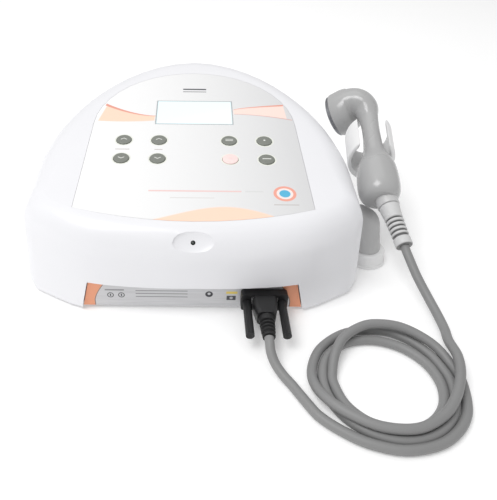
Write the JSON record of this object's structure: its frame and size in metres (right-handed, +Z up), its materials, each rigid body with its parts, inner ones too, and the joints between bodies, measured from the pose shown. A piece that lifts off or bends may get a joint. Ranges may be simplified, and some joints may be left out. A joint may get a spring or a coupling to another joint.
{
  "type": "ultrasound therapy device",
  "caption": "Desktop console with a sloping key panel, side cradle, hand-held angled treatment head and a coiled lead to a front socket.",
  "frame": {"origin": "on the table plane, under the middle of the console with its cradle and handset, cord apart", "axes": "+Z up; +Y towards the back of the console; +X towards the cradle, to the operator's right"},
  "size_m": [0.3339, 0.3925, 0.114],
  "materials": {
    "white_shell": "satin white",
    "panel_film": "satin film",
    "window": "clear",
    "key_grey": "satin",
    "key_pink": "satin",
    "silver_panel": "brushed",
    "grey_grip": "gloss",
    "pale_grey": "satin",
    "soft_grey": "matt",
    "lead": "satin",
    "black_plastic": "matt",
    "steel": "plain",
    "black_rubber": "matt",
    "green_board": "laminate",
    "winding": "varnished",
    "ceramic": "fired",
    "green_lens": "clear lens"
  },
  "bodies": {
    "console": {"top_cover": "white_shell", "base_plate": "white_shell", "foot_front_left": "black_rubber", "foot_front_right": "black_rubber", "foot_rear_left": "black_rubber", "foot_rear_right": "black_rubber", "case_screw_1": "steel", "case_screw_2": "steel", "case_screw_3": "steel", "case_screw_4": "steel", "connector_panel": "silver_panel", "socket_shell": "steel", "socket_insulator": "black_plastic", "socket_nut_left": "steel", "socket_nut_right": "steel", "control_overlay": "panel_film", "lcd_window": "window", "lcd_module": "black_plastic", "keypad_board": "green_board", "power_light": "green_lens", "main_board": "green_board", "power_board": "green_board", "transformer": "winding", "heat_sink": "silver_panel", "output_board": "green_board", "buzzer": "black_plastic", "rear_panel": "pale_grey", "mains_inlet": "black_plastic", "rocker_frame": "black_plastic", "cradle_foot": "white_shell", "cradle_screw_1": "steel", "cradle_screw_2": "steel", "cradle_clip": "white_shell", "cradle_post": "white_shell", "plug_shell": "steel", "plug_hood": "black_plastic", "plug_boot": "black_plastic", "cord_lead": "lead", "cord_coil": "lead", "cord_tail": "lead"},
    "handset": {"handset_body": "grey_grip", "transducer_face": "steel", "crystal": "ceramic", "head_seal": "black_rubber", "gland_nut": "pale_grey", "strain_relief": "soft_grey"},
    "key_output_up": {"key_output_up": "key_grey"},
    "key_time_up": {"key_time_up": "key_grey"},
    "key_mode": {"key_mode": "key_grey"},
    "key_rate": {"key_rate": "key_grey"},
    "key_output_down": {"key_output_down": "key_grey"},
    "key_time_down": {"key_time_down": "key_grey"},
    "key_stop": {"key_stop": "key_pink"},
    "key_start": {"key_start": "key_grey"},
    "rocker": {"rocker": "black_plastic"},
    "fuse_tray": {"fuse_drawer": "black_plastic", "fuse": "window"},
    "thumbscrew_left": {"thumbscrew_left": "black_plastic"},
    "thumbscrew_right": {"thumbscrew_right": "black_plastic"}
  },
  "joints": [
    {"name": "handset_lift", "type": "slide", "parent": "console", "child": "handset", "axis": [0, -0.3529, 0.9357], "range_m": [0, 0.045]},
    {"name": "key_output_up_press", "type": "slide", "parent": "console", "child": "key_output_up", "axis": [0, 0.1532, -0.9882], "range_m": [0, 0.0005], "stiffness_N_per_m": 600},
    {"name": "key_time_up_press", "type": "slide", "parent": "console", "child": "key_time_up", "axis": [0, 0.1532, -0.9882], "range_m": [0, 0.0005], "stiffness_N_per_m": 600},
    {"name": "key_mode_press", "type": "slide", "parent": "console", "child": "key_mode", "axis": [0, 0.1532, -0.9882], "range_m": [0, 0.0005], "stiffness_N_per_m": 600},
    {"name": "key_rate_press", "type": "slide", "parent": "console", "child": "key_rate", "axis": [0, 0.1532, -0.9882], "range_m": [0, 0.0005], "stiffness_N_per_m": 600},
    {"name": "key_output_down_press", "type": "slide", "parent": "console", "child": "key_output_down", "axis": [0, 0.1532, -0.9882], "range_m": [0, 0.0005], "stiffness_N_per_m": 600},
    {"name": "key_time_down_press", "type": "slide", "parent": "console", "child": "key_time_down", "axis": [0, 0.1532, -0.9882], "range_m": [0, 0.0005], "stiffness_N_per_m": 600},
    {"name": "key_stop_press", "type": "slide", "parent": "console", "child": "key_stop", "axis": [0, 0.1532, -0.9882], "range_m": [0, 0.0005], "stiffness_N_per_m": 600},
    {"name": "key_start_press", "type": "slide", "parent": "console", "child": "key_start", "axis": [0, 0.1532, -0.9882], "range_m": [0, 0.0005], "stiffness_N_per_m": 600},
    {"name": "power_switch", "type": "hinge", "parent": "console", "child": "rocker", "pos_m": [-0.00409, 0.1271, 0.03], "axis": [1, 0, 0], "range_deg": [-18.33, 0]},
    {"name": "fuse_drawer_pull", "type": "slide", "parent": "console", "child": "fuse_tray", "axis": [0, 1, 0], "range_m": [0, 0.012]},
    {"name": "thumbscrew_left_turn", "type": "hinge", "parent": "console", "child": "thumbscrew_left", "pos_m": [0.01891, -0.1519, 0.016], "axis": [0, 1, 0], "continuous": true},
    {"name": "thumbscrew_right_turn", "type": "hinge", "parent": "console", "child": "thumbscrew_right", "pos_m": [0.04591, -0.1519, 0.016], "axis": [0, 1, 0], "continuous": true}
  ]
}
